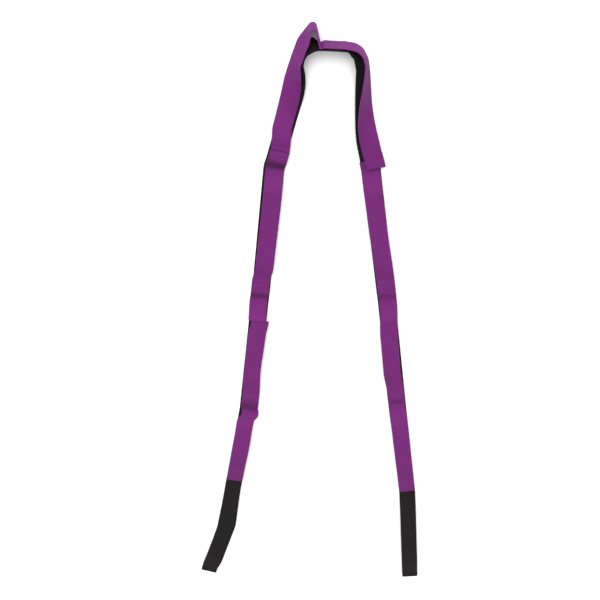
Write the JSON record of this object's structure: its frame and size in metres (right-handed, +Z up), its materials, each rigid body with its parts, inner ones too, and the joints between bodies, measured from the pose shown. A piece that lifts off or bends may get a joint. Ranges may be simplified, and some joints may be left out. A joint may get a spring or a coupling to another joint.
{
  "type": "stretching strap",
  "caption": "Webbing strap with sewn grip loops along a backing strip and a folded loop at each end, lying as an open arch on its edge.",
  "frame": {"origin": "centre of the bounding box's floor rectangle, on the surface the strap lies on", "axes": "+Z up from the surface, +Y from the end loops towards the arch, X across the two legs, with the left leg at -X"},
  "size_m": [0.3626, 0.9663, 0.0279],
  "materials": {
    "purple_webbing": "ribbed polyester webbing, satin sheen",
    "black_webbing": "ribbed polyester webbing, matt",
    "purple_thread": "bonded sewing thread"
  },
  "bodies": {
    "centre": {"backing_centre": "black_webbing", "seam_centre": "purple_webbing", "stitching_centre": "purple_thread"},
    "left_arm": {"backing_left_1": "black_webbing", "seam_left_1": "purple_webbing", "stitching_left_1": "purple_thread"},
    "left_grip_loop_1": {"grip_left_1": "purple_webbing"},
    "left_link_2": {"backing_left_2": "black_webbing", "seam_left_2": "purple_webbing", "stitching_left_2": "purple_thread"},
    "left_grip_loop_2": {"grip_left_2": "purple_webbing"},
    "left_link_3": {"backing_left_3": "black_webbing", "seam_left_3": "purple_webbing", "stitching_left_3": "purple_thread"},
    "left_grip_loop_3": {"grip_left_3": "purple_webbing"},
    "left_link_4": {"backing_left_4": "black_webbing", "seam_left_4": "purple_webbing", "stitching_left_4": "purple_thread", "end_loop_left_tab": "black_webbing"},
    "left_grip_loop_4": {"grip_left_4": "purple_webbing"},
    "left_end_loop": {"end_loop_left_under": "black_webbing"},
    "left_end_loop_upper": {"end_loop_left_over": "black_webbing"},
    "right_arm": {"backing_right_1": "black_webbing", "seam_right_1": "purple_webbing", "stitching_right_1": "purple_thread"},
    "right_grip_loop_1": {"grip_right_1": "purple_webbing"},
    "right_link_2": {"backing_right_2": "black_webbing", "seam_right_2": "purple_webbing", "stitching_right_2": "purple_thread"},
    "right_grip_loop_2": {"grip_right_2": "purple_webbing"},
    "right_link_3": {"backing_right_3": "black_webbing", "seam_right_3": "purple_webbing", "stitching_right_3": "purple_thread"},
    "right_grip_loop_3": {"grip_right_3": "purple_webbing"},
    "right_link_4": {"backing_right_4": "black_webbing", "seam_right_4": "purple_webbing", "stitching_right_4": "purple_thread", "end_loop_right_tab": "black_webbing"},
    "right_grip_loop_4": {"grip_right_4": "purple_webbing"},
    "right_end_loop": {"end_loop_right_under": "black_webbing"},
    "right_end_loop_upper": {"end_loop_right_over": "black_webbing"}
  },
  "joints": [
    {"name": "left_centre_fold", "type": "hinge", "parent": "centre", "child": "left_arm", "pos_m": [0.0118, 0.4564, 0.0127], "axis": [0, 0, -1], "range_deg": [-8, 60]},
    {"name": "left_grip_open_1", "type": "slide", "parent": "left_arm", "child": "left_grip_loop_1", "axis": [-0.5997, 0.3498, 0.7197], "range_m": [0, 0.025]},
    {"name": "left_fold_1", "type": "hinge", "parent": "left_arm", "child": "left_link_2", "pos_m": [-0.05226, 0.28064, 0.0018], "axis": [-0.9829, 0.1839, 0], "range_deg": [-110, 110]},
    {"name": "left_grip_open_2", "type": "slide", "parent": "left_link_2", "child": "left_grip_loop_2", "axis": [0, 0, -1], "range_m": [-0.025, 0]},
    {"name": "left_fold_2", "type": "hinge", "parent": "left_link_2", "child": "left_link_3", "pos_m": [-0.07287, 0.07417, 0.0018], "axis": [0.9945, -0.1045, 0], "range_deg": [-110, 110]},
    {"name": "left_grip_open_3", "type": "slide", "parent": "left_link_3", "child": "left_grip_loop_3", "axis": [0, 0, 1], "range_m": [0, 0.025]},
    {"name": "left_fold_3", "type": "hinge", "parent": "left_link_3", "child": "left_link_4", "pos_m": [-0.09515, -0.1276, 0.0018], "axis": [-0.9899, 0.1418, 0], "range_deg": [-110, 110]},
    {"name": "left_grip_open_4", "type": "slide", "parent": "left_link_4", "child": "left_grip_loop_4", "axis": [0, 0, -1], "range_m": [-0.025, 0]},
    {"name": "left_fold_4", "type": "hinge", "parent": "left_link_4", "child": "left_end_loop", "pos_m": [-0.12085, -0.27336, 0.0027], "axis": [0.9856, -0.1693, 0], "range_deg": [-110, 110]},
    {"name": "left_end_loop_open", "type": "slide", "parent": "left_end_loop", "child": "left_end_loop_upper", "axis": [0, 0, 1], "range_m": [0, 0.025]},
    {"name": "right_centre_fold", "type": "hinge", "parent": "centre", "child": "right_arm", "pos_m": [0.0378, 0.4564, 0.0127], "axis": [0, 0, 1], "range_deg": [-8, 60]},
    {"name": "right_grip_open_1", "type": "slide", "parent": "right_arm", "child": "right_grip_loop_1", "axis": [0.6021, 0.2007, 0.7728], "range_m": [0, 0.025]},
    {"name": "right_fold_1", "type": "hinge", "parent": "right_arm", "child": "right_link_2", "pos_m": [0.07927, 0.27776, 0.0018], "axis": [-0.9854, -0.1702, 0], "range_deg": [-110, 110]},
    {"name": "right_grip_open_2", "type": "slide", "parent": "right_link_2", "child": "right_grip_loop_2", "axis": [0, 0, -1], "range_m": [-0.025, 0]},
    {"name": "right_fold_2", "type": "hinge", "parent": "right_link_2", "child": "right_link_3", "pos_m": [0.1075, 0.07169, 0.0018], "axis": [0.9913, 0.1314, 0], "range_deg": [-110, 110]},
    {"name": "right_grip_open_3", "type": "slide", "parent": "right_link_3", "child": "right_grip_loop_3", "axis": [0, 0, 1], "range_m": [0, 0.025]},
    {"name": "right_fold_3", "type": "hinge", "parent": "right_link_3", "child": "right_link_4", "pos_m": [0.13151, -0.11578, 0.0018], "axis": [-0.9917, -0.1288, 0], "range_deg": [-110, 110]},
    {"name": "right_grip_open_4", "type": "slide", "parent": "right_link_4", "child": "right_grip_loop_4", "axis": [0, 0, -1], "range_m": [-0.025, 0]},
    {"name": "right_fold_4", "type": "hinge", "parent": "right_link_4", "child": "right_end_loop", "pos_m": [0.15527, -0.29622, 0.0027], "axis": [0.9949, 0.1011, 0], "range_deg": [-110, 110]},
    {"name": "right_end_loop_open", "type": "slide", "parent": "right_end_loop", "child": "right_end_loop_upper", "axis": [0, 0, 1], "range_m": [0, 0.025]}
  ]
}
